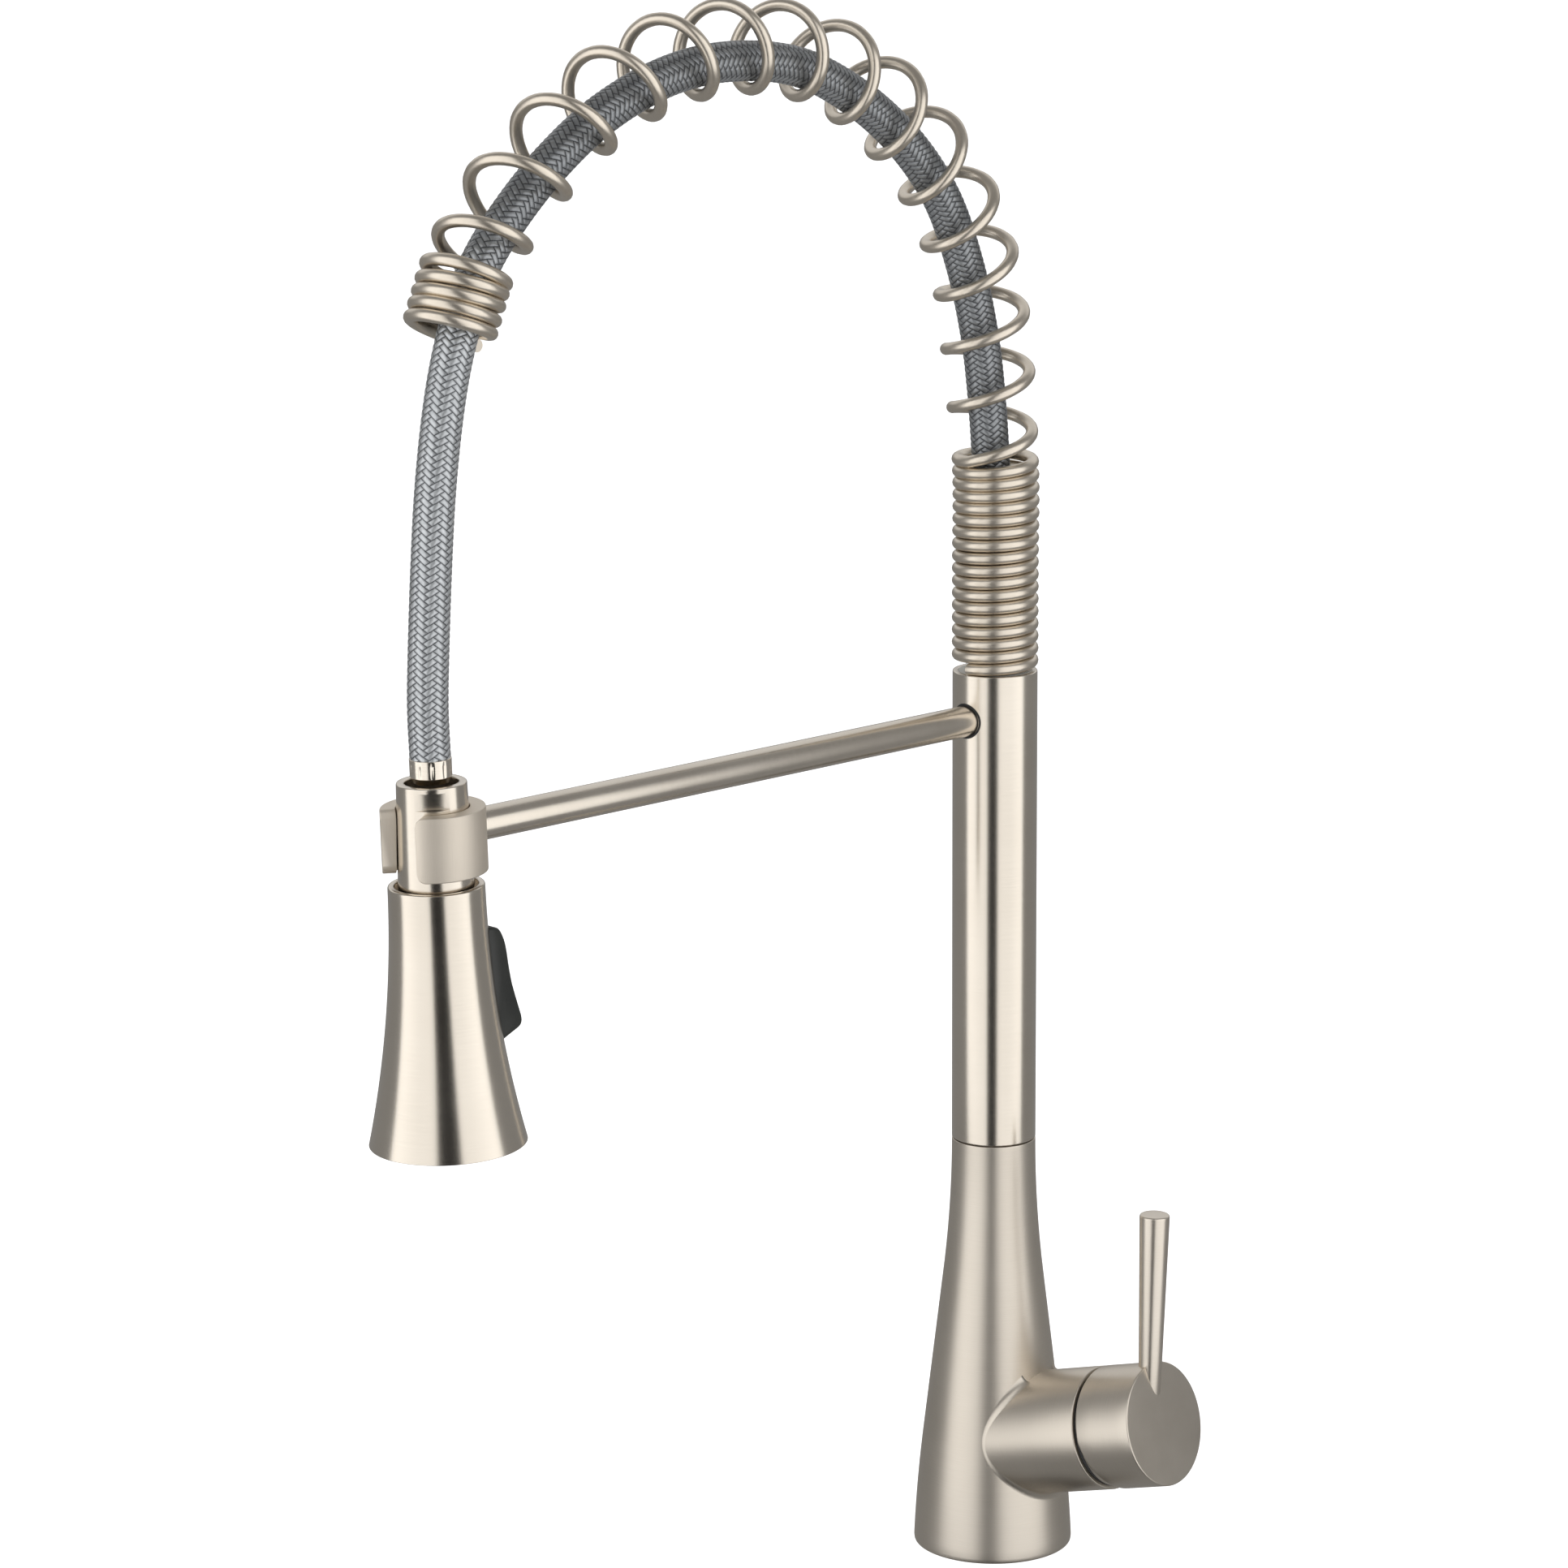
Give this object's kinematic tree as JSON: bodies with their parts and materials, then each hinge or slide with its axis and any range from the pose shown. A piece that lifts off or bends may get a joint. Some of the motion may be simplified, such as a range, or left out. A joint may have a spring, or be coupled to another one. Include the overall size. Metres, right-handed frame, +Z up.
{
  "type": "pull-down kitchen faucet",
  "caption": "Single-handle kitchen faucet: a coil spring carries a braided hose in an arch to a pull-down spray head docked in an arm.",
  "frame": {"origin": "centre of the foot, in the plane of the deck, on the column's axis", "axes": "+Z up the column; -Y towards the spray head; +X to the side of the valve handle, which is turned 8 degrees from +X towards +Y"},
  "size_m": [0.1016, 0.2867, 0.5783],
  "materials": {
    "nickel": "warm brushed nickel",
    "brass": "machined",
    "steel": "plain stainless",
    "rubber": "matte black",
    "black_plastic": "black satin",
    "white_plastic": "moulded",
    "braid": "braided steel wire over a rubber tube"
  },
  "bodies": {
    "base": {"base_body": "nickel", "deck_gasket": "rubber", "mounting_shank": "brass", "rubber_washer": "rubber", "steel_washer": "steel", "mounting_nut": "brass", "nut_screws": "steel", "swivel_orings": "rubber", "swivel_clip": "steel", "valve_cartridge": "white_plastic", "cartridge_seals": "rubber", "retaining_nut": "brass", "branch_seal": "rubber", "valve_dome": "nickel"},
    "column": {"column_tube": "nickel", "swivel_bushing": "white_plastic", "hose_fitting": "brass", "spring_seat": "white_plastic", "support_spring": "nickel", "dock_arm": "nickel", "arm_seal": "rubber", "dock_clip": "nickel", "clip_screw": "steel", "spray_hose": "braid"},
    "hose_end": {"hose_ferrule": "nickel", "hose_nipple": "brass", "nipple_orings": "rubber"},
    "spray_head": {"dock_collar": "nickel", "collar_clip": "steel", "spray_shell": "nickel", "spray_core": "white_plastic", "core_oring": "rubber", "spray_face": "black_plastic", "spray_nozzles": "rubber", "aerator": "white_plastic", "face_screw": "steel", "toggle_pin": "steel"},
    "toggle": {"toggle_button": "black_plastic"},
    "spool": {"diverter_spool": "brass", "spool_oring": "rubber"},
    "stem_carrier": {"cartridge_turret": "white_plastic", "stem_pin": "steel"},
    "handle": {"control_stem": "brass", "handle_hub": "nickel", "lever_rod": "nickel", "set_screw": "steel"}
  },
  "joints": [
    {"name": "column_swivel", "type": "hinge", "parent": "base", "child": "column", "pos_m": [0, 0, 0.155], "axis": [0, 0, 1], "continuous": true},
    {"name": "pull_down", "type": "slide", "parent": "column", "child": "hose_end", "axis": [0, 0.0349, -0.9994], "range_m": [0, 0.1], "stiffness_N_per_m": 60, "springref_m": -0.1, "deforming": ["spray_hose"]},
    {"name": "head_turn", "type": "hinge", "parent": "hose_end", "child": "spray_head", "pos_m": [0, -0.2368, 0.27581], "axis": [0, -0.0349, 0.9994], "continuous": true},
    {"name": "spray_toggle", "type": "hinge", "parent": "spray_head", "child": "toggle", "pos_m": [0, -0.22647, 0.23215], "axis": [-1, 0, 0], "range_deg": [0, 10]},
    {"name": "diverter_slide", "type": "slide", "parent": "spray_head", "child": "spool", "axis": [0, -0.0349, 0.9994], "range_m": [0, 0.0006]},
    {"name": "handle_temperature", "type": "hinge", "parent": "base", "child": "stem_carrier", "pos_m": [0, 0, 0.0358], "axis": [0.9565, 0.1344, 0.2588], "range_deg": [-45, 45]},
    {"name": "handle_flow", "type": "hinge", "parent": "stem_carrier", "child": "handle", "pos_m": [0.04209, 0.00592, 0.04719], "axis": [-0.1392, 0.9903, 0], "range_deg": [0, 13]}
  ],
  "couplings": [
    {"joint": "spray_toggle", "follows": "diverter_slide", "rad_per_m": 232.7}
  ]
}
